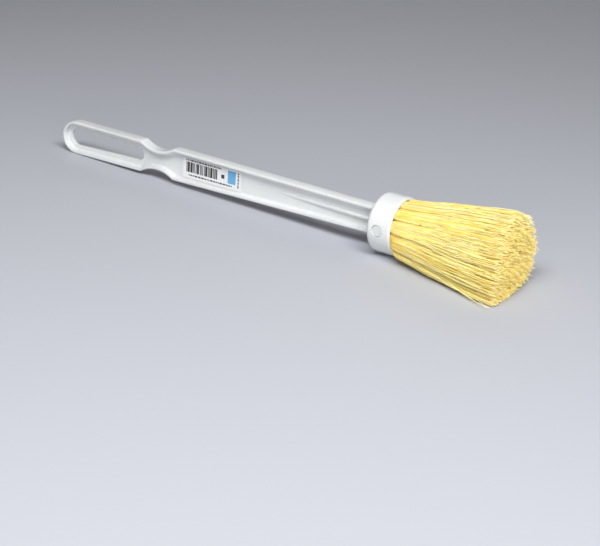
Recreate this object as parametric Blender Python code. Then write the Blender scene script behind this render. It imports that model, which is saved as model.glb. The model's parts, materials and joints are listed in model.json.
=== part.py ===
"""Round whitewash brush: a moulded handle with its cup, a drilled tuft block, tufts, anchors and a label.

Every piece is drawn in the brush's own axes: X runs along the handle from the end of the hanging
loop to the bristle tips, Z is the width of the handle and -Y is its front. One empty then tilts
the brush to the way it lies on a table, on the loop's edge, the cup and the lowest bristles.
"""

import math

import bmesh
import bpy
from mathutils import Vector

MM = 0.001
GAP = 0.3 * MM  # clearance between pieces that touch

# Handle outline, in the XZ plane
LOOP_HALF = 12.4 * MM  # half width at the hanging loop
LOOP_REACH = 13.2 * MM  # length of its rounded end
NECK_START = (78.2 * MM, 11.9 * MM)
NECK_END = (108.4 * MM, 11.75 * MM)
NECK_SAG = 4.5 * MM  # how far the waist dips below the line between its ends
SHOULDER_START = 4.6 * MM  # rounding where the loop meets the waist
SHOULDER_END = 3.6 * MM  # rounding where the waist meets the grip
CUP_BACK = 284.1 * MM
HALF_AT_CUP = 9.35 * MM
HANDLE_INTO_CUP = 1.3 * MM

# Handle section: a rim all round a thin web
DEPTH = 8.7 * MM
RIM = 2.3 * MM
WEB_FRONT = -0.2 * MM
WEB_BACK = 2.4 * MM
FLOOR_FILLET = 0.9 * MM
RIM_OUTER_ROUND = 0.8 * MM
RIM_INNER_ROUND = 0.5 * MM
DRAFT = 0.22 * MM  # the mould's draft over half the depth

# Hanging slot, which narrows towards the waist
SLOT_START = 6.1 * MM
SLOT_END = 78.0 * MM
SLOT_HALF_START = 6.5 * MM
SLOT_HALF_END = 4.8 * MM
SLOT_EDGE = 0.35 * MM

# Rib that stiffens the web where it meets the cup
RIB_START = 197.0 * MM
RIB_HEIGHT = 3.7 * MM
RIB_HALF_BASE = 1.3 * MM
RIB_HALF_CREST = 0.95 * MM

# Cup
CUP_R = 19.75 * MM
CUP_FRONT = 301.9 * MM
CUP_FLOOR = 2.4 * MM
CUP_BORE = 17.8 * MM
CUP_BACK_ROUND = 2.7 * MM
CUP_RIM_ROUND = 1.5 * MM

# Tuft block and its two snap pegs
BLOCK_R = CUP_BORE - 0.4 * MM
BLOCK_BACK = CUP_BACK + CUP_FLOOR + 0.5 * MM
BLOCK_FRONT = 299.0 * MM
PEG_X = 292.45 * MM
PEG_R = 3.6 * MM
PEG_TOP = 19.55 * MM
PEG_RAMP = 0.12  # slope of the lead-in on the peg's end
TUFT_HOLE_R = 3.0 * MM
TUFT_HOLE_BOTTOM = 289.5 * MM

# Tufts: one in the middle, then two rings
RINGS = ((1, 0.0, 0.0), (6, 6.8 * MM, 0.0), (12, 13.6 * MM, 15.0))  # count, radius, first angle
TUFT_ROOT_R = TUFT_HOLE_R - GAP
TIP_X = 385.7 * MM
MOUTH_R = 17.7 * MM
TIP_R = 29.8 * MM
FLARE = 1.4  # above 1, the flare is steepest at the cup
CELL_X = 309.0 * MM  # from here on the tufts share the whole bundle between them
TUFT_STATIONS = 8
TUFT_SIDES = 12
TUFT_GAP = 0.45 * MM
CORNER = 0.62  # below 1, a tuft's section is squarer than an ellipse
FAR_CUT = (5.2 * MM, 2.4 * MM)  # how much shorter the back of the cut end is, and how much longer the front
TOP_CUT = 5.0 * MM  # how much shorter its top is
LOW_CUT = 1.4 * MM  # and its underside

# How the bundle lies: it sags towards its lower front, and the table pushes it up and forwards
SAG_ANGLE = math.radians(235)
SAG_MOUTH, SAG_TIP = 1.6 * MM, 6.2 * MM
TOP_MOUTH, TOP_TIP = 1.9 * MM, 4.0 * MM  # how much flatter the top is
SAG_BELOW = 0.75  # share of the sag that goes straight down
SETTLE_LENGTH = 4.5 * MM  # the length past the cup over which this sets in
PUSH = 0.9  # forward shift for each length that a bristle is lifted

# Anchors: the wire plates that hold the folded tufts
ANCHOR_HALF = 3.4 * MM
ANCHOR_THICK = 0.5 * MM
ANCHOR_LOW = 290.3 * MM
ANCHOR_HIGH = 292.0 * MM

# Label on the web
LABEL_X = (115.6 * MM, 167.9 * MM)
LABEL_Z = (-7.5 * MM, 6.7 * MM)
LABEL_THICK = 0.25 * MM
LABEL_CORNER = 1.0 * MM


def clear_scene():
    for obj in list(bpy.data.objects):
        bpy.data.objects.remove(obj, do_unlink=True)


def material(name, colour, roughness, metallic=0.0):
    made = bpy.data.materials.new(name)
    made.use_nodes = True
    shader = made.node_tree.nodes["Principled BSDF"]
    shader.inputs["Base Color"].default_value = (*colour, 1.0)
    shader.inputs["Roughness"].default_value = roughness
    shader.inputs["Metallic"].default_value = metallic
    return made


def new_object(name, bm, made_of=None):
    """Turns bm into an object, with its faces pointing out."""
    bmesh.ops.remove_doubles(bm, verts=bm.verts, dist=0.001 * MM)
    bmesh.ops.recalc_face_normals(bm, faces=bm.faces)
    mesh = bpy.data.meshes.new(name)
    bm.to_mesh(mesh)
    bm.free()
    obj = bpy.data.objects.new(name, mesh)
    bpy.context.scene.collection.objects.link(obj)
    if made_of:
        mesh.materials.append(made_of)
    return obj


def boolean(target, tool, operation):
    """Applies a Boolean with tool to target, and removes tool."""
    modifier = target.modifiers.new(operation.lower(), "BOOLEAN")
    modifier.operation = operation
    modifier.solver = "EXACT"
    modifier.object = tool
    graph = bpy.context.evaluated_depsgraph_get()
    result = bpy.data.meshes.new_from_object(target.evaluated_get(graph))
    target.modifiers.clear()
    target.data = result
    bpy.data.objects.remove(tool, do_unlink=True)


def prism(name, outline, low, high, along, made_of=None):
    """A solid whose outline, a list of 3D points, runs from low to high along a unit vector."""
    bm = bmesh.new()
    first = [bm.verts.new(Vector(p) + along * low) for p in outline]
    last = [bm.verts.new(Vector(p) + along * high) for p in outline]
    bm.faces.new(first)
    bm.faces.new(last)
    for i in range(len(outline)):
        k = (i + 1) % len(outline)
        bm.faces.new((first[i], first[k], last[k], last[i]))
    return new_object(name, bm, made_of)


def arc(centre, radius, start, stop, steps):
    """Points and outward directions on an arc in the XZ plane, from start to stop in radians."""
    made = []
    for i in range(steps + 1):
        angle = start + (stop - start) * i / steps
        out = Vector((math.cos(angle), math.sin(angle)))
        made.append((Vector(centre) + radius * out, out))
    return made


def shoulder(point, slope, radius, waist, waist_r, side):
    """Centre of a rounding inside the straight edge through point and touching the waist's arc."""
    drop = radius * math.sqrt(1 + slope * slope)
    at_zero = point[1] - slope * point[0] - drop - waist.y
    a = 1 + slope * slope
    b = 2 * (slope * at_zero - waist.x)
    c = waist.x**2 + at_zero**2 - (waist_r + radius) ** 2
    x = (-b + side * math.sqrt(b * b - 4 * a * c)) / (2 * a)
    return Vector((x, slope * x + at_zero + waist.y))


def angle_of(vector):
    return math.atan2(vector.y, vector.x)


def half_outline():
    """Upper half of the handle's outline, from the loop's tip to the cup: (point, inward normal) pairs."""
    chain = []
    steps = 12
    for i in range(steps + 1):
        turn = math.pi / 2 * i / steps
        point = Vector((LOOP_REACH * (1 - math.cos(turn)), LOOP_HALF * math.sin(turn)))
        out = Vector((-math.cos(turn) / LOOP_REACH, math.sin(turn) / LOOP_HALF)).normalized()
        chain.append((point, -out))

    # The waist is one arc through the two neck corners
    start, end = Vector(NECK_START), Vector(NECK_END)
    half_chord = (end - start).length / 2
    waist_r = (half_chord**2 + NECK_SAG**2) / (2 * NECK_SAG)
    up = Vector((start.y - end.y, end.x - start.x)).normalized()
    waist = (start + end) / 2 + up * (waist_r - NECK_SAG)

    loop_slope = (NECK_START[1] - LOOP_HALF) / (NECK_START[0] - LOOP_REACH)
    grip_slope = (HALF_AT_CUP - NECK_END[1]) / (CUP_BACK - NECK_END[0])
    first = shoulder(NECK_START, loop_slope, SHOULDER_START, waist, waist_r, -1)
    second = shoulder(NECK_END, grip_slope, SHOULDER_END, waist, waist_r, 1)
    loop_out = angle_of(Vector((-loop_slope, 1)))
    grip_out = angle_of(Vector((-grip_slope, 1)))

    rounding = arc(first, SHOULDER_START, loop_out, angle_of(waist - first), 4)
    top_of_loop = chain[-1][0]
    for i in (1, 2, 3):
        chain.append((top_of_loop.lerp(rounding[0][0], i / 4), -rounding[0][1]))
    chain += [(point, -out) for point, out in rounding]
    dip = arc(waist, waist_r, angle_of(first - waist), angle_of(second - waist), 10)
    chain += dip[1:-1]
    rounding = arc(second, SHOULDER_END, angle_of(waist - second), grip_out, 4)
    chain += [(point, -out) for point, out in rounding]

    last = rounding[-1][0]
    reach = CUP_BACK + HANDLE_INTO_CUP
    end = Vector((reach, last.y + grip_slope * (reach - last.x)))
    for i in range(1, 6):
        chain.append((last.lerp(end, i / 6), -rounding[-1][1]))
    chain.append((end, Vector((0, -1))))
    return chain


def turned(centre, radius, start, stop, steps):
    """Points on an arc about centre, from start to stop in degrees."""
    made = []
    for i in range(steps + 1):
        angle = math.radians(start + (stop - start) * i / steps)
        made.append((centre[0] + radius * math.cos(angle), centre[1] + radius * math.sin(angle)))
    return made


def rim_section():
    """(inset, y) points from the web's front floor, over the rim and down to its back floor."""
    half = DEPTH / 2
    wall = RIM + DRAFT
    front_foot = (wall + FLOOR_FILLET, WEB_FRONT - FLOOR_FILLET)
    back_foot = (wall + FLOOR_FILLET, WEB_BACK + FLOOR_FILLET)
    inner = RIM - RIM_INNER_ROUND
    outer = DRAFT + RIM_OUTER_ROUND
    return [
        *turned(front_foot, FLOOR_FILLET, 90, 180, 3),
        *turned((inner, RIM_INNER_ROUND - half), RIM_INNER_ROUND, 0, -90, 2),
        *turned((outer, RIM_OUTER_ROUND - half), RIM_OUTER_ROUND, -90, -180, 3),
        (0.0, 0.0),
        *turned((outer, half - RIM_OUTER_ROUND), RIM_OUTER_ROUND, 180, 90, 3),
        *turned((inner, half - RIM_INNER_ROUND), RIM_INNER_ROUND, 90, 0, 2),
        *turned(back_foot, FLOOR_FILLET, 180, 270, 3),
    ]


def slot_outline(grow):
    """The hanging slot's outline, (x, z) points, with its edge moved out by grow."""
    big = SLOT_HALF_START + grow
    small = SLOT_HALF_END + grow
    left = turned((SLOT_START + SLOT_HALF_START, 0), big, 90, 270, 12)
    right = turned((SLOT_END - SLOT_HALF_END, 0), small, -90, 90, 12)
    return left + right


def ring_of_faces(bm, first, second, closed):
    count = len(first)
    for i in range(count if closed else count - 1):
        k = (i + 1) % count
        bm.faces.new((first[i], first[k], second[k], second[i]))


def edges_along(bm, row, closed):
    count = len(row)
    found = []
    for i in range(count if closed else count - 1):
        pair = (row[i], row[(i + 1) % count])
        found.append(bm.edges.get(pair) or bm.edges.new(pair))
    return found


def handle_bar(plastic):
    """The rim and web of the handle, as one skin, with the slot through the web."""
    upper = half_outline()
    lower = [(Vector((p.x, -p.y)), Vector((n.x, -n.y))) for p, n in upper[1:]]
    chain = upper[::-1] + lower
    section = rim_section()
    bm = bmesh.new()
    rows = []
    for inset, y in section:
        points = [point + normal * inset for point, normal in chain]
        rows.append([bm.verts.new((p.x, y, p.y)) for p in points])
    for first, second in zip(rows, rows[1:]):
        ring_of_faces(bm, first, second, closed=False)
    bm.faces.new([row[0] for row in rows] + [row[-1] for row in reversed(rows)])

    slot = []
    for grow, y in (
        (SLOT_EDGE, WEB_FRONT),
        (0.0, WEB_FRONT + SLOT_EDGE),
        (0.0, WEB_BACK - SLOT_EDGE),
        (SLOT_EDGE, WEB_BACK),
    ):
        slot.append([bm.verts.new((x, y, z)) for x, z in slot_outline(grow)])
    for first, second in zip(slot, slot[1:]):
        ring_of_faces(bm, first, second, closed=True)
    for floor, hole in ((rows[0], slot[0]), (rows[-1], slot[-1])):
        border = edges_along(bm, floor, closed=True) + edges_along(bm, hole, closed=True)
        bmesh.ops.triangle_fill(bm, edges=border, use_beauty=True)
    return new_object("handle", bm, plastic)


def spun(name, profile, steps, made_of=None):
    """A solid turned about X from (x, radius) points that start and end on the axis."""
    bm = bmesh.new()
    rings = []
    for x, radius in profile:
        if radius == 0:
            rings.append([bm.verts.new((x, 0, 0))])
            continue
        ring = []
        for i in range(steps):
            angle = 2 * math.pi * i / steps
            ring.append(bm.verts.new((x, radius * math.cos(angle), radius * math.sin(angle))))
        rings.append(ring)
    for first, second in zip(rings, rings[1:]):
        for i in range(steps):
            k = (i + 1) % steps
            if len(first) == 1:
                bm.faces.new((first[0], second[i], second[k]))
            elif len(second) == 1:
                bm.faces.new((first[i], first[k], second[0]))
            else:
                bm.faces.new((first[i], first[k], second[k], second[i]))
    return new_object(name, bm, made_of)


def rib():
    """A wedge on the web's front that rises towards the cup."""
    bm = bmesh.new()
    stations = (
        (RIB_START, WEB_FRONT + 0.15 * MM),
        (CUP_BACK + HANDLE_INTO_CUP - 0.2 * MM, WEB_FRONT - RIB_HEIGHT),
    )
    ends = []
    for x, crest in stations:
        corners = (
            (-RIB_HALF_BASE, WEB_FRONT + 1.2 * MM),
            (-RIB_HALF_BASE, WEB_FRONT + 0.6 * MM),
            (-RIB_HALF_CREST, crest + 0.3 * MM),
            (-RIB_HALF_CREST / 2, crest),
            (RIB_HALF_CREST / 2, crest),
            (RIB_HALF_CREST, crest + 0.3 * MM),
            (RIB_HALF_BASE, WEB_FRONT + 0.6 * MM),
            (RIB_HALF_BASE, WEB_FRONT + 1.2 * MM),
        )
        ends.append([bm.verts.new((x, y, z)) for z, y in corners])
    ring_of_faces(bm, ends[0], ends[1], closed=True)
    bm.faces.new(ends[0])
    bm.faces.new(ends[1])
    return new_object("rib", bm)


def cup():
    back = turned((CUP_BACK + CUP_BACK_ROUND, CUP_R - CUP_BACK_ROUND), CUP_BACK_ROUND, 180, 90, 5)
    front = turned((CUP_FRONT - CUP_RIM_ROUND, CUP_R - CUP_RIM_ROUND), CUP_RIM_ROUND, 90, 0, 4)
    floor = CUP_BACK + CUP_FLOOR
    profile = [
        (CUP_BACK, 0),
        *back,
        *front,
        (CUP_FRONT, CUP_BORE + 0.35 * MM),
        (CUP_FRONT - 0.5 * MM, CUP_BORE),
        (floor + 0.5 * MM, CUP_BORE),
        (floor, CUP_BORE - 0.5 * MM),
        (floor, 0),
    ]
    return spun("cup", profile, 56)


def rod(name, radius, start, stop, steps):
    """A round bar along Y, centred on the pegs' place."""
    outline = [(PEG_X + x, 0, z) for x, z in turned((0, 0), radius, 0, 360 - 360 / steps, steps - 1)]
    return prism(name, outline, start, stop, Vector((0, 1, 0)))


def make_handle(plastic):
    handle = handle_bar(plastic)
    boolean(handle, rib(), "UNION")
    boolean(handle, cup(), "UNION")
    for side in (-1, 1):
        hole = rod("peg_hole", PEG_R + GAP, side * CUP_BORE * 0.9, side * CUP_R * 1.1, 28)
        boolean(handle, hole, "DIFFERENCE")
    return handle


def tuft_places():
    """(ring number, angle) of each tuft, and the angle that its anchor makes with the radius."""
    places = []
    for number, (count, _, first) in enumerate(RINGS):
        lean = math.radians((30, 30, 45)[number])
        for i in range(count):
            places.append((number, math.radians(first + 360 * i / count), lean))
    return places


def root_point(place):
    number, angle, _ = place
    radius = RINGS[number][1]
    return Vector((radius * math.cos(angle), radius * math.sin(angle)))


def anchor_bar(name, place, x_low, x_high, half_long, half_thick, made_of=None):
    """A plate across one tuft's root."""
    centre = root_point(place)
    along = place[1] + place[2]
    reach = Vector((math.cos(along), math.sin(along)))
    across = Vector((-reach.y, reach.x))
    outline = []
    for a, b in ((-1, -1), (1, -1), (1, 1), (-1, 1)):
        corner = centre + reach * half_long * a + across * half_thick * b
        outline.append((0, corner.x, corner.y))
    return prism(name, outline, x_low, x_high, Vector((1, 0, 0)), made_of)


def make_block(plastic):
    edge = 0.6 * MM
    profile = [
        (BLOCK_BACK, 0),
        (BLOCK_BACK, BLOCK_R - edge),
        (BLOCK_BACK + edge, BLOCK_R),
        (BLOCK_FRONT - edge, BLOCK_R),
        (BLOCK_FRONT, BLOCK_R - edge),
        (BLOCK_FRONT, 0),
    ]
    block = spun("tuft_block", profile, 48, plastic)
    for side in (-1, 1):
        peg = rod("peg", PEG_R, side * BLOCK_R * 0.6, side * PEG_TOP, 28)
        for vert in peg.data.vertices:
            if abs(vert.co.y) > BLOCK_R:
                vert.co.y -= side * PEG_RAMP * (PEG_X + PEG_R - vert.co.x)
        boolean(block, peg, "UNION")
    for place in tuft_places():
        centre = root_point(place)
        outline = [(0, *p) for p in turned(centre, TUFT_HOLE_R, 0, 330, 11)]
        hole = prism("hole", outline, TUFT_HOLE_BOTTOM, BLOCK_FRONT + 2 * MM, Vector((1, 0, 0)))
        notch = anchor_bar(
            "notch", place, ANCHOR_LOW - GAP, ANCHOR_HIGH + GAP, ANCHOR_HALF + GAP, ANCHOR_THICK / 2 + GAP
        )
        boolean(hole, notch, "UNION")
        boolean(block, hole, "DIFFERENCE")
    return block


def rest_tilt():
    """The tilt, in radians, that brings the loop's edge and the cup's back edge down to one table."""
    low, high = 0.0, 0.1
    for _ in range(50):
        tilt = (low + high) / 2
        if loop_height(tilt) < cup_height(tilt):
            high = tilt
        else:
            low = tilt
    return (low + high) / 2


def loop_height(tilt):
    reach = LOOP_REACH * math.sin(tilt)
    return reach - math.hypot(reach, LOOP_HALF * math.cos(tilt))


def cup_height(tilt):
    centre_x = CUP_BACK + CUP_BACK_ROUND
    centre_r = CUP_R - CUP_BACK_ROUND
    return centre_x * math.sin(tilt) - centre_r * math.cos(tilt) - CUP_BACK_ROUND


def table_z(x, tilt):
    """Height of the table under the brush's axis, in the brush's own axes, at x."""
    return (loop_height(tilt) - x * math.sin(tilt)) / math.cos(tilt)


def bundle_radius(x):
    """Outer radius of the whole bundle of bristles at x."""
    if x < CUP_FRONT:
        outer_root = RINGS[-1][1] + TUFT_ROOT_R
        return outer_root + (MOUTH_R - outer_root) * (x - BLOCK_FRONT) / (CUP_FRONT - BLOCK_FRONT)
    part = min(1.0, (x - CUP_FRONT) / (TIP_X - CUP_FRONT))
    return MOUTH_R + (TIP_R - MOUTH_R) * (1 - (1 - part) ** FLARE)


def cell_bounds(number):
    """Inner and outer radius of one ring's share of a bundle of radius 1, all shares being equal."""
    total = sum(count for count, _, _ in RINGS)
    before = sum(count for count, _, _ in RINGS[:number])
    after = before + RINGS[number][0]
    return math.sqrt(before / total), math.sqrt(after / total)


def rounded(value):
    return math.copysign(abs(value) ** CORNER, value)


def cell_point(place, turn, x):
    """A point on the outline of a tuft's share of the bundle at x."""
    number, angle, _ = place
    radius = bundle_radius(x)
    inner, outer = cell_bounds(number)
    if number == 0:
        reach = outer * radius - TUFT_GAP / 2
        return Vector((reach * math.cos(turn), reach * math.sin(turn)))
    low = inner * radius + TUFT_GAP / 2
    high = outer * radius - TUFT_GAP / 2
    reach = (low + high) / 2 + (high - low) / 2 * rounded(math.cos(turn))
    half_angle = math.pi / RINGS[number][0] - TUFT_GAP / 2 / reach
    direction = angle + half_angle * rounded(math.sin(turn))
    return Vector((reach * math.cos(direction), reach * math.sin(direction)))


def smooth_step(value):
    value = min(1.0, max(0.0, value))
    return value * value * (3 - 2 * value)


def tuft_point(place, turn, x, tilt):
    """A point on a tuft's outline at x, pressed up by the table where the bundle reaches it."""
    _, angle, _ = place
    facing = angle + turn
    root = root_point(place) + TUFT_ROOT_R * Vector((math.cos(facing), math.sin(facing)))
    share = smooth_step((x - BLOCK_FRONT) / (CELL_X - BLOCK_FRONT))
    point = root.lerp(cell_point(place, turn, x), share) if share else root
    radius = bundle_radius(x)
    part = (x - CUP_FRONT) / (TIP_X - CUP_FRONT)
    if part > 0:
        point, sag = settled(point, radius, part)
        room = -table_z(x, tilt)
        if radius + sag > room and point.y < 0:
            lifted = -point.y * (1 - room / (radius + sag))
            point = Vector((point.x - PUSH * lifted, point.y + lifted))
    return (x, point.x, point.y)


def settled(point, radius, part):
    """Moves a point of the bundle's section as the bundle sags, and says how far the sag reaches down."""
    angle = angle_of(point)
    low = max(0.0, math.cos(angle - SAG_ANGLE)) ** 2
    sag = SAG_MOUTH + (SAG_TIP - SAG_MOUTH) * part
    top = TOP_MOUTH + (TOP_TIP - TOP_MOUTH) * part
    free = smooth_step(part * (TIP_X - CUP_FRONT) / SETTLE_LENGTH)
    scale = 1 + free * (low * sag - max(0.0, math.sin(angle)) * top) / radius
    return point * scale, free * sag * SAG_BELOW


def tip_x(place):
    """Where a tuft ends: the cut end leans, and it is a little uneven."""
    number, angle, _ = place
    inner, outer = cell_bounds(number)
    middle = (inner + outer) / 2 if number else 0.0
    back, up = middle * math.cos(angle), middle * math.sin(angle)
    uneven = 0.8 * MM * math.sin(5 * angle + 2 * number)
    leaning = back * FAR_CUT[0 if back > 0 else 1] + (up * TOP_CUT if up > 0 else -up * LOW_CUT)
    return TIP_X - leaning + uneven


def make_tuft(name, place, tilt, bristle):
    end = tip_x(place)
    stations = [TUFT_HOLE_BOTTOM + GAP, BLOCK_FRONT]
    for i in range(1, TUFT_STATIONS + 1):
        stations.append(BLOCK_FRONT + (end - BLOCK_FRONT) * (i / TUFT_STATIONS) ** 1.5)
    bm = bmesh.new()
    rings = []
    for x in stations:
        turns = [2 * math.pi * i / TUFT_SIDES for i in range(TUFT_SIDES)]
        rings.append([bm.verts.new(tuft_point(place, turn, x, tilt)) for turn in turns])
    for first, second in zip(rings, rings[1:]):
        ring_of_faces(bm, first, second, closed=True)
    bm.faces.new(rings[0])
    bm.faces.new(rings[-1])
    tuft = new_object(name, bm, bristle)
    fold = anchor_bar(
        "fold", place, TUFT_HOLE_BOTTOM - MM, ANCHOR_HIGH + GAP, ANCHOR_HALF + MM, ANCHOR_THICK / 2 + GAP
    )
    boolean(tuft, fold, "DIFFERENCE")
    return tuft


def make_label(paper):
    low_x, high_x = LABEL_X
    low_z, high_z = LABEL_Z
    outline = []
    for x, z, start in (
        (high_x - LABEL_CORNER, high_z - LABEL_CORNER, 0),
        (low_x + LABEL_CORNER, high_z - LABEL_CORNER, 90),
        (low_x + LABEL_CORNER, low_z + LABEL_CORNER, 180),
        (high_x - LABEL_CORNER, low_z + LABEL_CORNER, 270),
    ):
        outline += [(a, 0, b) for a, b in turned((x, z), LABEL_CORNER, start, start + 90, 3)]
    back = WEB_FRONT - GAP
    return prism("label", outline, back - LABEL_THICK, back, Vector((0, 1, 0)), paper)


def shade(obj):
    obj.data.shade_smooth()
    obj.data.set_sharp_from_angle(angle=math.radians(35))


def main():
    clear_scene()
    white = material("white_plastic", (0.82, 0.84, 0.84), 0.38)
    block_white = material("block_plastic", (0.78, 0.78, 0.74), 0.5)
    bristle = material("bristle", (0.93, 0.78, 0.33), 0.55)
    steel = material("anchor_steel", (0.6, 0.6, 0.6), 0.35, 1.0)
    paper = material("label_paper", (0.93, 0.93, 0.92), 0.6)

    tilt = rest_tilt()
    pieces = [make_handle(white), make_block(block_white), make_label(paper)]
    for number, place in enumerate(tuft_places(), start=1):
        pieces.append(make_tuft(f"tuft_{number:02d}", place, tilt, bristle))
        pieces.append(
            anchor_bar(
                f"anchor_{number:02d}", place, ANCHOR_LOW, ANCHOR_HIGH, ANCHOR_HALF, ANCHOR_THICK / 2, steel
            )
        )

    # Stand the brush on its table, with the middle of its box over the origin
    brush = bpy.data.objects.new("brush_axes", None)
    bpy.context.scene.collection.objects.link(brush)
    brush.rotation_euler = (0, -tilt, 0)
    for piece in pieces:
        piece.parent = brush
        shade(piece)
    bpy.context.view_layer.update()
    corners = [piece.matrix_world @ vert.co for piece in pieces for vert in piece.data.vertices]
    low = [min(corner[i] for corner in corners) for i in range(3)]
    high = [max(corner[i] for corner in corners) for i in range(3)]
    brush.location = (-(low[0] + high[0]) / 2, -(low[1] + high[1]) / 2, -low[2])
    bpy.context.view_layer.update()


main()
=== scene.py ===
"""Looks for the round whitewash brush: bristles, moulded plastic, a printed label and a soft studio.

Shapes are worked out in the brush's own axes, in metres: X runs along the handle from the end of
the hanging loop to the bristle tips, Z is the width of the handle and -Y is its front. The brush
lies tilted on its table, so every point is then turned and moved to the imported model's frame.
"""

import json
import math

import bpy
import numpy as np
from mathutils import Matrix, Vector


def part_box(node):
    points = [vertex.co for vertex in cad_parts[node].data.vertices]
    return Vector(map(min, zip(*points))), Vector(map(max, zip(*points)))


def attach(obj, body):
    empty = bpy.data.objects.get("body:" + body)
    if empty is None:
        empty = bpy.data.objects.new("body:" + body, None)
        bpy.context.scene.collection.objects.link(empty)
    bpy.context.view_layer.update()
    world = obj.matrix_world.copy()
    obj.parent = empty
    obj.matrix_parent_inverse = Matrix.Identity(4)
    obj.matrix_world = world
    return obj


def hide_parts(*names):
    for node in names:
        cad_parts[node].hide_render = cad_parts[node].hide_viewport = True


MM = 0.001
SEED = 20
BODY = "root"

# Places along the brush: the cup and block as in the CAD part, the tips where most bristles end
BLOCK_MIDDLE_X = 293.0 * MM
BLOCK_FRONT = 299.0 * MM
CUP_FRONT = 301.9 * MM
TIP_X = 384.6 * MM

# The bundle of bristles
RINGS = ((1, 0.0), (6, 6.8 * MM), (12, 13.6 * MM))  # tufts in each ring, and its radius at the root
FIRST_ANGLE = (0.0, 0.0, 15.0)
MOUTH_R = 17.7 * MM
TIP_R = 29.8 * MM
FLARE = 1.4
ROOT_X = 290.6 * MM
ROOT_R = 2.45 * MM
OPEN_X = 322.0 * MM  # where the tufts have opened out to fill the bundle
CLOSE_X = 303.6 * MM  # where neighbours in the outer ring meet
STATIONS = 27
SIDES = 3
STRAND_R = 0.235 * MM
LOCKS = 16  # locks of strands that keep together in one tuft
STRANDS = (300, 320, 460)  # strands in one tuft of each ring
CORE = 0.85  # share of a tuft that its packed core fills
CORE_SIDES = 16
CORE_END = 15.0 * MM  # how far short of the tips the core stops

# How the bundle lies on the table: it bulges over the rim and sags towards its lower front
BULGE = 0.8 * MM
SAG_ANGLE = math.radians(235)
SAG_MOUTH, SAG_TIP = 1.6 * MM, 6.2 * MM
TOP_MOUTH, TOP_TIP = 1.9 * MM, 4.0 * MM  # how much flatter the top is
SETTLE_LENGTH = 4.5 * MM  # the length over which this sets in
TABLE_GAP = 0.4 * MM
TABLE_HARDNESS = 6  # how sharply the bundle turns flat where the table meets it
PUSH = 0.9  # forward shift for each length that a bristle is lifted

# The cut end leans: how much shorter its back is, longer its front, and shorter its top and underside
BACK_CUT, FRONT_CUT = 5.2 * MM, 2.4 * MM
TOP_CUT, LOW_CUT = 5.0 * MM, 1.4 * MM

TRAILING_ANGLE = math.radians(225)
# How far the long strands that trail on the table stray out of the bundle and sideways
TRAILING = ((4.6 * MM, -1.2 * MM), (3.6 * MM, -1.8 * MM), (4.0 * MM, 0.4 * MM))


def smooth_step(value):
    value = np.clip(value, 0.0, 1.0)
    return value * value * (3 - 2 * value)


def mix(a, b, share):
    return a + (b - a) * share


# ---- frame ----

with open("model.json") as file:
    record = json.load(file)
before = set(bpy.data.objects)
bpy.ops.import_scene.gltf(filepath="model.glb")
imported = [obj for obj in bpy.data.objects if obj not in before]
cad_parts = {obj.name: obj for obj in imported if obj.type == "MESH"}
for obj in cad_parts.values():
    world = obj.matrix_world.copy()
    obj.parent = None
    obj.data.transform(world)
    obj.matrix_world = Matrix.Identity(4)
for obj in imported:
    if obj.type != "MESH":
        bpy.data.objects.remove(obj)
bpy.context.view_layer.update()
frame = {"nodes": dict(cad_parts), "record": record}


def middle(node):
    low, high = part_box(node)
    return (low + high) / 2


def brush_axes():
    """Matrix from the brush's own axes to the row frame, from the block and the hanging slot."""
    slot = Vector(frame["record"]["mounts"][0]["pos_m"])
    block = middle("tuft_block")
    along = Vector((block.x - slot.x, 0, block.z - slot.z)).normalized()
    up = Vector((-along.z, 0, along.x))
    origin = block - along * BLOCK_MIDDLE_X
    turn = Matrix((along, Vector((0, 1, 0)), up)).transposed()
    return Matrix.Translation(origin) @ turn.to_4x4()


AXES = brush_axes()
TURN = np.array(AXES.to_3x3())
ORIGIN = np.array(AXES.translation)


def to_frame(points):
    return points @ TURN.T + ORIGIN


# ---- materials ----

DUST_COLOUR = (0.35, 0.34, 0.32)


def new_material(name):
    made = bpy.data.materials.new(name)
    made.use_nodes = True
    return made, made.node_tree.nodes, made.node_tree.links


def ramp(nodes, stops):
    """A colour ramp with (position, colour) stops."""
    node = nodes.new("ShaderNodeValToRGB")
    points = node.color_ramp.elements
    while len(points) < len(stops):
        points.new(0.5)
    for point, (position, colour) in zip(points, stops):
        point.position = position
        point.color = (*colour, 1.0)
    return node


def colour_mix(nodes, links, factor, first, second, blend="MIX"):
    """Mixes two colours or colour sockets, and returns the result's socket."""
    node = nodes.new("ShaderNodeMix")
    node.data_type = "RGBA"
    node.blend_type = blend
    if isinstance(factor, float):
        node.inputs[0].default_value = factor
    else:
        links.new(factor, node.inputs[0])
    for slot, value in ((6, first), (7, second)):
        if isinstance(value, tuple):
            node.inputs[slot].default_value = (*value, 1.0)
        else:
            links.new(value, node.inputs[slot])
    return node.outputs[2]


def noise(nodes, links, coords, scale, detail, stretch=None):
    """A noise texture in object space, with its size in waves per metre."""
    source = coords
    if stretch:
        mapping = nodes.new("ShaderNodeMapping")
        mapping.inputs["Scale"].default_value = stretch
        links.new(coords, mapping.inputs["Vector"])
        source = mapping.outputs["Vector"]
    node = nodes.new("ShaderNodeTexNoise")
    node.inputs["Scale"].default_value = scale
    node.inputs["Detail"].default_value = detail
    links.new(source, node.inputs["Vector"])
    return node.outputs["Fac"]


def map_range(nodes, links, value, low, high, to_low, to_high):
    node = nodes.new("ShaderNodeMapRange")
    node.inputs["From Min"].default_value = low
    node.inputs["From Max"].default_value = high
    node.inputs["To Min"].default_value = to_low
    node.inputs["To Max"].default_value = to_high
    links.new(value, node.inputs["Value"])
    return node.outputs["Result"]


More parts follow.
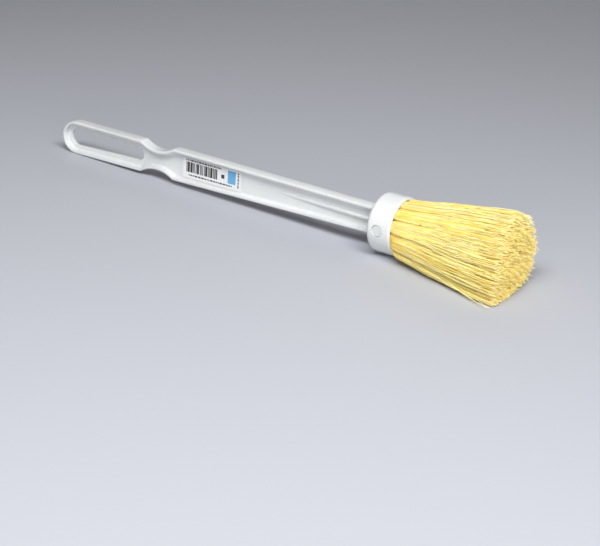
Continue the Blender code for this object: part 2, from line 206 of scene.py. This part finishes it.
def bump(nodes, links, height, distance, strength):
    node = nodes.new("ShaderNodeBump")
    node.inputs["Strength"].default_value = strength
    node.inputs["Distance"].default_value = distance
    links.new(height, node.inputs["Height"])
    return node.outputs["Normal"]


def object_coords(nodes):
    return nodes.new("ShaderNodeTexCoord").outputs["Object"]


def moulded_plastic(name, clean, dull, roughness):
    """Satin moulded plastic: faint cloudiness, a fine eggshell skin and a few specks of dust."""
    made, nodes, links = new_material(name)
    shader = nodes["Principled BSDF"]
    coords = object_coords(nodes)
    cloud = noise(nodes, links, coords, 38.0, 4.0)
    cloud_share = map_range(nodes, links, cloud, 0.35, 0.7, 0.0, 1.0)
    body = colour_mix(nodes, links, cloud_share, clean, dull)
    dust = noise(nodes, links, coords, 620.0, 1.0)
    dust_share = map_range(nodes, links, dust, 0.765, 0.80, 0.0, 0.55)
    links.new(colour_mix(nodes, links, dust_share, body, DUST_COLOUR), shader.inputs["Base Color"])
    wear = noise(nodes, links, coords, 90.0, 3.0)
    worn = map_range(nodes, links, wear, 0.3, 0.7, roughness - 0.05, roughness + 0.07)
    links.new(worn, shader.inputs["Roughness"])
    skin = noise(nodes, links, coords, 1500.0, 2.0)
    links.new(bump(nodes, links, skin, 0.02 * MM, 0.5), shader.inputs["Normal"])
    shader.inputs["IOR"].default_value = 1.49
    return made


def point_value(nodes, key):
    found = nodes.new("ShaderNodeAttribute")
    found.attribute_name = key
    return found.outputs["Fac"]


def bristle_material():
    """Crimped yellow strands, each in its own tone. Painted shade turns them a deeper golden inside the
    bundle, and darker and warmer near the cup mouth and the cut tips; a painted highlight makes the cut
    ends paler.
    """
    made, nodes, links = new_material("bristle_look")
    shader = nodes["Principled BSDF"]
    geometry = nodes.new("ShaderNodeNewGeometry")
    coords = object_coords(nodes)
    shade = ramp(
        nodes,
        (
            (0.0, (1.0, 0.74, 0.18)),
            (0.25, (1.0, 0.84, 0.25)),
            (0.6, (1.0, 0.90, 0.34)),
            (1.0, (1.0, 0.97, 0.62)),
        ),
    )
    links.new(geometry.outputs["Random Per Island"], shade.inputs["Fac"])
    parts = nodes.new("ShaderNodeSeparateXYZ")
    links.new(coords, parts.inputs["Vector"])
    root_x = to_frame(np.array([CUP_FRONT, 0, 0]))[0]
    tip_x = to_frame(np.array([TIP_X, 0, 0]))[0]
    along = map_range(nodes, links, parts.outputs["X"], root_x, tip_x, 0.0, 1.0)
    # Painted shade along the bundle: darker and warmer towards the cup mouth, and a little darker at the
    # cut tips.
    ends = ramp(
        nodes,
        (
            (0.0, (1.0, 0.82, 0.55)),
            (0.18, (1.0, 0.96, 0.88)),
            (0.75, (1.0, 1.0, 1.0)),
            (1.0, (1.0, 0.92, 0.80)),
        ),
    )
    links.new(along, ends.inputs["Fac"])
    tinted = colour_mix(nodes, links, 1.0, shade.outputs["Color"], ends.outputs["Color"], "MULTIPLY")
    streak = noise(nodes, links, coords, 260.0, 2.0, stretch=(0.18, 1.0, 1.0))
    streak_share = map_range(nodes, links, streak, 0.4, 0.72, 0.0, 0.3)
    streaked = colour_mix(nodes, links, streak_share, tinted, (1.0, 0.95, 0.66))
    # Painted shade between the strands: points deep in the bundle, and the cores, turn a deeper golden.
    painted_shade_share = map_range(nodes, links, point_value(nodes, "depth"), 0.0, 1.0, 0.0, 0.5)
    golden = colour_mix(nodes, links, painted_shade_share, streaked, (1.0, 0.77, 0.14))
    # Painted highlight: the last station of each strand turns pale cream.
    tip_highlight_share = map_range(nodes, links, point_value(nodes, "pale"), 0.0, 1.0, 0.0, 0.25)
    cut = colour_mix(nodes, links, tip_highlight_share, golden, (1.0, 0.93, 0.58))
    speck = noise(nodes, links, coords, 330.0, 1.0, stretch=(0.6, 1.0, 1.0))
    speck_share = map_range(nodes, links, speck, 0.775, 0.80, 0.0, 0.8)
    links.new(colour_mix(nodes, links, speck_share, cut, (0.20, 0.12, 0.05)), shader.inputs["Base Color"])
    fine = noise(nodes, links, coords, 2400.0, 2.0, stretch=(0.15, 1.0, 1.0))
    links.new(bump(nodes, links, fine, 0.03 * MM, 0.4), shader.inputs["Normal"])
    shader.inputs["Roughness"].default_value = 0.42
    shader.inputs["Specular IOR Level"].default_value = 0.2
    return made


def paper_material():
    """Coated label paper with a faint tooth."""
    made, nodes, links = new_material("label_look")
    shader = nodes["Principled BSDF"]
    coords = object_coords(nodes)
    cloud = noise(nodes, links, coords, 240.0, 3.0)
    share = map_range(nodes, links, cloud, 0.35, 0.7, 0.0, 1.0)
    links.new(
        colour_mix(nodes, links, share, (0.75, 0.76, 0.77), (0.71, 0.72, 0.74)), shader.inputs["Base Color"]
    )
    tooth = noise(nodes, links, coords, 3800.0, 2.0)
    links.new(bump(nodes, links, tooth, 0.01 * MM, 0.5), shader.inputs["Normal"])
    shader.inputs["Roughness"].default_value = 0.42
    return made


def ink(name, colour):
    """Printing ink, slightly uneven where the paper's tooth shows through."""
    made, nodes, links = new_material(name)
    shader = nodes["Principled BSDF"]
    coords = object_coords(nodes)
    grain = noise(nodes, links, coords, 2600.0, 2.0)
    share = map_range(nodes, links, grain, 0.45, 0.8, 0.0, 0.12)
    pale = tuple(mix(channel, 0.8, 0.6) for channel in colour)
    links.new(colour_mix(nodes, links, share, colour, pale), shader.inputs["Base Color"])
    shader.inputs["Roughness"].default_value = 0.5
    return made


def steel_material():
    made, nodes, links = new_material("anchor_look")
    shader = nodes["Principled BSDF"]
    coords = object_coords(nodes)
    drawn = noise(nodes, links, coords, 1800.0, 2.0, stretch=(1.0, 0.1, 1.0))
    links.new(map_range(nodes, links, drawn, 0.3, 0.7, 0.28, 0.45), shader.inputs["Roughness"])
    links.new(
        colour_mix(nodes, links, drawn, (0.58, 0.58, 0.57), (0.68, 0.67, 0.65)), shader.inputs["Base Color"]
    )
    shader.inputs["Metallic"].default_value = 1.0
    return made


# ---- mesh pieces ----


def new_piece(name, points, faces, material, slot, *nodes, smooth=True, slots=None, values=None):
    """A mesh piece from points in the row frame. It rides on the brush and may replace CAD nodes."""
    mesh = bpy.data.meshes.new(name)
    mesh.from_pydata(points.tolist(), [], faces)
    for each in material if isinstance(material, list) else [material]:
        mesh.materials.append(each)
    if slots is not None:
        mesh.polygons.foreach_set("material_index", slots)
    for key, numbers in (values or {}).items():
        mesh.attributes.new(key, "FLOAT", "POINT").data.foreach_set("value", numbers)
    if smooth:
        mesh.shade_smooth()
    mesh.update()
    piece = bpy.data.objects.new(name, mesh)
    bpy.context.scene.collection.objects.link(piece)
    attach(piece, BODY)
    if nodes:
        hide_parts(*nodes)
    return piece


def bundle_radius(x):
    """Outer radius of the whole bundle at x."""
    root = RINGS[-1][1] + ROOT_R
    inside = mix(root, MOUTH_R, (x - BLOCK_FRONT) / (CUP_FRONT - BLOCK_FRONT))
    part = np.clip((x - CUP_FRONT) / (TIP_X - CUP_FRONT), 0, 1.15)
    outside = MOUTH_R + (TIP_R - MOUTH_R) * (1 - np.abs(1 - part) ** FLARE * np.sign(1 - part))
    return np.where(x < CUP_FRONT, inside, outside)


def cell_bounds(number):
    """Inner and outer radius of one ring's share of a bundle of radius 1."""
    total = sum(count for count, _ in RINGS)
    before = sum(count for count, _ in RINGS[:number])
    return math.sqrt(before / total), math.sqrt((before + RINGS[number][0]) / total)


def squarer(value):
    return np.sign(value) * np.abs(value) ** 0.66


def table_height(x):
    """Height of the table in the brush's own axes, at x."""
    return -(ORIGIN[2] + TURN[2, 0] * x) / TURN[2, 2]


def spread(number, angle, place, x):
    """Where strands of one tuft run at x, from their place in the tuft's disc of radius 1."""
    radius = bundle_radius(x)
    inner, outer = cell_bounds(number)
    middle_r = (inner + outer) / 2 if number else 0.0
    opened = smooth_step((x - BLOCK_FRONT) / (OPEN_X - BLOCK_FRONT))
    closed = 1 - (1 - np.clip((x - BLOCK_FRONT) / (CLOSE_X - BLOCK_FRONT), 0, 1)) ** 2
    leaning = RINGS[number][1] * radius / (RINGS[-1][1] + ROOT_R)
    centre = np.where(x < BLOCK_FRONT, RINGS[number][1], mix(leaning, middle_r * radius, opened))
    half_r = (outer - inner) / 2 * radius if number else outer * radius
    half_t = math.pi / RINGS[number][0] * middle_r * radius if number else outer * radius
    flat_r, flat_t = place[:, 0, None], place[:, 1, None]
    length = np.maximum(np.hypot(flat_r, flat_t), 1e-6)
    radial = centre + mix(ROOT_R * flat_r, half_r * length * squarer(flat_r / length) * 1.04, closed)
    radial = np.where(x < CUP_FRONT + 1 * MM, np.minimum(radial, radius), radial)
    across = mix(ROOT_R * flat_t, half_t * length * squarer(flat_t / length) * 1.12, closed)
    return radial, across


def settle(x, y, z):
    """Lets the bundle bulge over the rim, sag towards its lower front and flatten on the table."""
    radius = bundle_radius(x)
    part = np.clip((x - CUP_FRONT) / (TIP_X - CUP_FRONT), 0, 1.1)
    free = smooth_step((x - CUP_FRONT + 0.6 * MM) / SETTLE_LENGTH)
    angle = np.arctan2(z, y)
    low = np.clip(np.cos(angle - SAG_ANGLE), 0, 1) ** 2
    out = free * (BULGE + low * mix(SAG_MOUTH, SAG_TIP, part)) / radius
    top = free * np.clip(np.sin(angle), 0, 1) * mix(TOP_MOUTH, TOP_TIP, part) / radius
    scale = 1 + out - top
    y, z = y * scale, z * scale
    room = -table_height(x) - TABLE_GAP
    deep = np.clip(-z / room, 0, 3)
    flat = z / (1 + deep**TABLE_HARDNESS) ** (1 / TABLE_HARDNESS)
    return y - PUSH * (flat - z), flat


def strand_places(rng, count):
    """Where each strand is in its tuft's section, in a disc of radius 1, and the lock it's in."""
    lock = rng.integers(0, LOCKS, count)
    reach = mix(0.90, 1.04, rng.random(LOCKS))
    turn = (np.arange(LOCKS) + rng.random(LOCKS)) / LOCKS * 2 * math.pi
    reach = reach[lock] + rng.normal(0, 0.04, count)
    turn = turn[lock] + rng.normal(0, 0.30, count)
    loose = rng.random(count) < 0.52
    reach[loose] = np.sqrt(rng.random(loose.sum()))
    turn[loose] = rng.random(loose.sum()) * 2 * math.pi
    return np.stack([reach * np.cos(turn), reach * np.sin(turn)], 1), lock


def tip_x(y, z):
    """How far the bundle reaches at one place across it: the cut end leans, shortest at the far side."""
    far, high = y / TIP_R, z / TIP_R
    leaning = np.where(far > 0, BACK_CUT, FRONT_CUT) * far
    return TIP_X - leaning - np.where(high > 0, TOP_CUT, -LOW_CUT) * high


def strand_ends(rng, number, angle, place, lock):
    """Where along the brush each strand ends: cut a little unevenly, with a few short ones."""
    count = len(lock)
    radial, across = spread(number, angle, place, np.full((count, 1), TIP_X))
    y = radial * math.cos(angle) - across * math.sin(angle)
    z = radial * math.sin(angle) + across * math.cos(angle)
    end = tip_x(y, z)[:, 0]
    end = end + rng.normal(0, 0.8 * MM, LOCKS)[lock] + rng.normal(0, 1.0 * MM, count)
    end = end + (rng.random(count) < 0.08) * rng.random(count) * np.clip(z[:, 0] / TIP_R, 0.1, 1) * 7 * MM
    return end - (rng.random(count) < 0.06) * rng.random(count) * 10 * MM


def crimps(rng, x, lock):
    """Sideways waves of each strand: slow ones shared by a lock, and short ones of its own."""
    count = len(lock)
    grown = smooth_step((x - CUP_FRONT) / (45 * MM))
    slow_wave = rng.uniform(36, 60, LOCKS)[lock][:, None] * MM
    slow_turn = (rng.random((LOCKS, 2)) * 2 * math.pi)[lock] + rng.normal(0, 0.3, (count, 2))
    waves = []
    for axis in (0, 1):
        phase = 2 * math.pi * x / slow_wave + slow_turn[:, axis, None]
        waves.append(0.42 * MM * np.sin(phase) * grown)
    wave = rng.uniform(11.5, 18.0, count)[:, None] * MM
    size = rng.uniform(0.06, 0.30, count)[:, None] * MM
    way, start = rng.random((2, count, 1)) * 2 * math.pi
    short = size * np.sin(2 * math.pi * x / wave + start) * grown
    return waves[0] + short * np.cos(way), waves[1] + short * np.sin(way)


def strand_paths(rng, number, angle):
    """The lines that one tuft's strands follow, an array of strands by stations by 3, and depths inside the
    bundle, which set the painted shade.
    """
    count = STRANDS[number]
    place, lock = strand_places(rng, count)
    trailing = number == 2 and abs(angle - TRAILING_ANGLE) < 0.01
    if trailing:
        place[: len(TRAILING)] = (1.0, -0.45)
    end = strand_ends(rng, number, angle, place, lock)
    x = ROOT_X + (end[:, None] - ROOT_X) * np.linspace(0, 1, STATIONS)[None, :]
    radial, across = spread(number, angle, place, x)

    # Strays splay out towards their tips
    far = np.clip((x - CUP_FRONT) / (TIP_X - CUP_FRONT), 0, 1.2) ** 1.5
    if trailing:
        far[: len(TRAILING)] **= 3
    splay = rng.normal(0, 0.6 * MM, (count, 2))
    splay[rng.random(count) < 0.035] *= 3.0
    crossing = rng.random(count) < 0.05
    splay[crossing, 0] = 0.5 * MM
    splay[crossing, 1] = rng.uniform(-7, 7, crossing.sum()) * MM
    if trailing:
        splay[: len(TRAILING)] = TRAILING
    wave_r, wave_t = crimps(rng, x, lock)
    radial = radial + splay[:, 0, None] * far + wave_r
    across = across + splay[:, 1, None] * far + wave_t

    y, z = settle(
        x,
        radial * math.cos(angle) - across * math.sin(angle),
        radial * math.sin(angle) + across * math.cos(angle),
    )
    # How deep each point lies in the bundle; it sets the painted shade.
    depth = np.clip(1.0 - (radial / bundle_radius(x) - 0.72) / 0.26, 0, 1)
    return np.stack([x, y, z], 2), depth


def lift(points, clear):
    """Keeps points in the row frame above the table, easing them over it."""
    ease = 1.2 * MM
    height = points[..., 2] - clear
    eased = np.where(height < ease, ease * np.exp(np.minimum((height - ease) / ease, 0)), height)
    points[..., 2] = eased + clear
    return points


def sleeve(count, stations, sides):
    """Faces of closed tubes with this many stations and sides, whose points run round each station."""
    quads = []
    for s in range(stations - 1):
        for k in range(sides):
            n = (k + 1) % sides
            quads.append((s * sides + k, s * sides + n, (s + 1) * sides + n, (s + 1) * sides + k))
    quads = np.array(quads)
    last = (stations - 1) * sides
    faces = []
    for i in range(count):
        start = i * stations * sides
        faces += (quads + start).tolist()
        faces.append([start + k for k in reversed(range(sides))])
        faces.append([start + last + k for k in range(sides)])
    return faces


def tubes(rng, paths, radius):
    """Points and faces of closed tubes round each path, which all run along X."""
    count, stations, _ = paths.shape
    turn = rng.random(count)[:, None] * 2 * math.pi + np.arange(SIDES)[None, :] * 2 * math.pi / SIDES
    ring = np.stack([np.zeros_like(turn), np.cos(turn), np.sin(turn)], 2)
    size = radius * rng.uniform(0.8, 1.15, count)[:, None] * np.ones(stations)[None, :]
    taper = np.linspace(0, 1, stations)
    size = size * (1 - 0.25 * np.clip((taper - 0.9) / 0.1, 0, 1))[None, :]
    points = paths[:, :, None, :] + ring[:, None, :, :] * size[:, :, None, None]
    return points.reshape(-1, 3), sleeve(count, stations, SIDES)


def core(number, angle):
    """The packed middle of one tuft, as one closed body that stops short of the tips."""
    turn = np.arange(CORE_SIDES) * 2 * math.pi / CORE_SIDES
    place = CORE * np.stack([np.cos(turn), np.sin(turn)], 1)
    near = np.array([ROOT_X, BLOCK_FRONT, 300.5 * MM, CUP_FRONT, 303.5 * MM, 306.5 * MM, 311.0 * MM])
    tip_r = (sum(cell_bounds(number)) / 2 if number else 0.0) * TIP_R
    end = tip_x(tip_r * math.cos(angle), tip_r * math.sin(angle)) - CORE_END
    x = np.concatenate([near, np.linspace(316.0 * MM, end, 11)])[None, :]
    radial, across = spread(number, angle, place, np.repeat(x, CORE_SIDES, axis=0))
    y, z = settle(
        x,
        radial * math.cos(angle) - across * math.sin(angle),
        radial * math.sin(angle) + across * math.cos(angle),
    )
    points = np.stack([np.broadcast_to(x, y.shape), y, z], 2)
    return points.transpose(1, 0, 2), sleeve(1, x.shape[1], CORE_SIDES)


def make_bristles(material):
    node = 0
    for number, (count, _) in enumerate(RINGS):
        for i in range(count):
            node += 1
            rng = np.random.default_rng(SEED + node)
            angle = math.radians(FIRST_ANGLE[number] + 360 * i / count)
            paths, depth = strand_paths(rng, number, angle)
            placed = lift(to_frame(paths), STRAND_R * 1.2)
            points, faces = tubes(rng, placed, STRAND_R)
            inside, inside_faces = core(number, angle)
            inside = lift(to_frame(inside), 0.3 * MM).reshape(-1, 3)
            faces += [[k + len(points) for k in face] for face in inside_faces]
            # Painted highlight on the last station of each strand, none on the core.
            pale = np.clip(np.arange(STATIONS) - STATIONS + 2, 0, 1)
            pale = np.broadcast_to(pale, depth.shape)
            # Painted shade by depth, full on the core.
            values = {
                "depth": np.concatenate([np.repeat(depth.ravel(), SIDES), np.ones(len(inside))]),
                "pale": np.concatenate([np.repeat(pale.ravel(), SIDES), np.zeros(len(inside))]),
            }
            new_piece(
                f"bristles_{node:02d}",
                np.concatenate([points, inside]),
                faces,
                material,
                "bristle",
                f"tuft_{node:02d}",
                values=values,
            )


# ---- label print ----

PRINT_THICK = 0.02 * MM

# Sizes of the print, in millimetres
BARS_START, BARS_STOP = 118.8, 146.6
BAR_WIDTHS = (0.7, 1.1, 2.0)
BAR_GAPS = (0.35, 0.5, 0.8)
DASH_LENGTHS = (0.9, 1.5, 2.3)
DASH_GAP = 0.6


def print_face():
    """Where the label's front lies in the brush's own axes."""
    low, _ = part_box("label")
    return low.y - ORIGIN[1]


class Print:
    """Small closed plates of ink on the label's front, gathered into one mesh."""

    def __init__(self, front):
        self.front = front
        self.points = []
        self.faces = []
        self.inks = []

    def plate(self, outline, ink_index):
        """A plate with the given outline, (x, z) pairs in millimetres."""
        count = len(outline)
        start = len(self.points)
        for y in (self.front + 0.01 * MM, self.front - PRINT_THICK):
            self.points += [(x * MM, y, z * MM) for x, z in outline]
        self.faces.append([start + i for i in range(count)])
        self.faces.append([start + count + i for i in reversed(range(count))])
        for i in range(count):
            k = (i + 1) % count
            self.faces.append([start + i, start + count + i, start + count + k, start + k])
        self.inks += [ink_index] * (count + 2)

    def box(self, x, z, wide, high, ink_index):
        """A rectangle with its lower left corner at x, z."""
        self.plate([(x, z), (x, z + high), (x + wide, z + high), (x + wide, z)], ink_index)

    def dashes(self, rng, start, stop, z, high, ink_index):
        """A row of plain dashes of random lengths, where the real label has words or figures."""
        x = start
        while x < stop:
            long = float(rng.choice(DASH_LENGTHS))
            self.box(x, z, long, high, ink_index)
            x += long + DASH_GAP


def make_print(inks):
    rng = np.random.default_rng(SEED + 500)
    sheet = Print(print_face())
    black, blue = range(2)

    # Bars of random widths, which stand for a price code and say nothing
    x = BARS_START
    while x < BARS_STOP:
        wide = float(rng.choice(BAR_WIDTHS))
        sheet.box(x, -3.2, wide, 7.4, black)
        x += wide + float(rng.choice(BAR_GAPS))

    sheet.dashes(rng, 118.4, 149.5, 5.0, 1.2, black)
    sheet.dashes(rng, 121.0, 160.0, -5.8, 1.1, black)
    z = -5.4
    while z < 5.4:
        high = float(rng.choice(DASH_LENGTHS))
        sheet.box(165.0, z, 1.0, min(high, 5.6 - z), black)
        z += high + DASH_GAP

    # A plain square and a plain block of colour
    sheet.box(150.4, -1.2, 2.8, 2.8, black)
    sheet.box(156.2, -3.6, 7.0, 9.4, blue)
    points = to_frame(np.array(sheet.points))
    new_piece("label_print", points, sheet.faces, inks, "label_paper", smooth=False, slots=sheet.inks)


# ---- studio ----


def look_from(position, target, roll=0.0):
    """A matrix at position whose -Z points at target, rolled about its own axis."""
    back = (Vector(position) - Vector(target)).normalized()
    right = Vector((0, 0, 1)).cross(back)
    right = right.normalized() if right.length > 1e-6 else Vector((1, 0, 0))
    up = back.cross(right)
    turn = Matrix((right, up, back)).transposed().to_4x4()
    return Matrix.Translation(Vector(position)) @ turn @ Matrix.Rotation(roll, 4, "Z")


# Where the camera stands: to the right of the brush's front, a little above it and tipped sideways
CAMERA_TARGET = Vector(to_frame(np.array([223.1 * MM, -7.0 * MM, 0.0])))
CAMERA_REACH = 1.0
CAMERA_AZIMUTH = math.radians(-55.23)
CAMERA_ELEVATION = math.radians(18.86)
CAMERA_ROLL = math.radians(4.7)
CAMERA_SHIFT = -0.1183  # the picture fills the upper part of its frame


def make_camera():
    data = bpy.data.cameras.new("camera")
    data.sensor_width = 36.0
    data.lens = 90.0
    data.shift_y = CAMERA_SHIFT
    camera = bpy.data.objects.new("camera", data)
    bpy.context.scene.collection.objects.link(camera)
    level = math.cos(CAMERA_ELEVATION)
    back = Vector((
        level * math.cos(CAMERA_AZIMUTH),
        level * math.sin(CAMERA_AZIMUTH),
        math.sin(CAMERA_ELEVATION),
    ))
    camera.matrix_world = look_from(CAMERA_TARGET + CAMERA_REACH * back, CAMERA_TARGET, CAMERA_ROLL)
    bpy.context.scene.camera = camera


# Soft boxes: name, place, what it faces, size, power, colour, and spread in degrees
LIGHTS = (
    ("key_box", (0.5, -0.60, 1.08), (0.05, 0.0, 0.0), (1.3, 0.5), 25.5, (1.0, 0.995, 0.985), 180),
    ("front_box", (0.95, -1.2, 0.24), (0.05, 0.0, 0.03), (1.3, 0.4), 11.5, (1.0, 0.985, 0.96), 180),
    ("back_box", (-0.4, 1.3, 0.9), (0.05, 0.0, 0.0), (1.3, 0.6), 3.5, (1.0, 1.0, 1.0), 180),
)
SKY = 0.015

TABLE_COLOUR = (0.44, 0.455, 0.505)
TABLE_HALF = 4.0  # metres


def area_light(name, place, target, size, power, colour, spread):
    data = bpy.data.lights.new(name, "AREA")
    data.shape = "RECTANGLE"
    data.size, data.size_y = size
    data.energy = power
    data.color = colour
    data.spread = math.radians(spread)
    lamp = bpy.data.objects.new(name, data)
    bpy.context.scene.collection.objects.link(lamp)
    lamp.matrix_world = look_from(place, target)


def make_studio():
    bpy.context.scene.view_settings.view_transform = "Standard"
    for light in LIGHTS:
        area_light(*light)
    world = bpy.data.worlds.new("studio")
    world.use_nodes = True
    sky = world.node_tree.nodes["Background"]
    sky.inputs["Color"].default_value = (1.0, 1.0, 1.0, 1.0)
    sky.inputs["Strength"].default_value = SKY
    bpy.context.scene.world = world

    mesh = bpy.data.meshes.new("table")
    half = TABLE_HALF
    corners = ((-half, -half, 0), (half, -half, 0), (half, half, 0), (-half, half, 0))
    mesh.from_pydata(corners, [], [(0, 1, 2, 3)])
    table = bpy.data.objects.new("table", mesh)
    bpy.context.scene.collection.objects.link(table)
    made, nodes, links = new_material("table_look")
    shader = nodes["Principled BSDF"]
    shader.inputs["Base Color"].default_value = (*TABLE_COLOUR, 1.0)
    shader.inputs["Roughness"].default_value = 0.75
    mesh.materials.append(made)


def main():
    white = moulded_plastic("white_plastic_look", (0.64, 0.66, 0.665), (0.60, 0.62, 0.63), 0.40)
    block = moulded_plastic("block_look", (0.61, 0.625, 0.625), (0.58, 0.595, 0.595), 0.45)
    steel = steel_material()
    finishes = {"white_plastic": white, "block_plastic": block, "anchor_steel": steel}
    finishes["label_paper"] = paper_material()
    for part in frame["record"]["subparts"]:
        if part["material_slot"] in finishes:
            made_of = finishes[part["material_slot"]]
            frame["nodes"][part["node"]].material_slots[0].material = made_of
    make_bristles(bristle_material())
    make_print([
        ink("ink_black", (0.018, 0.018, 0.02)),
        ink("ink_blue", (0.12, 0.36, 0.62)),
    ])
    make_camera()
    make_studio()


main()
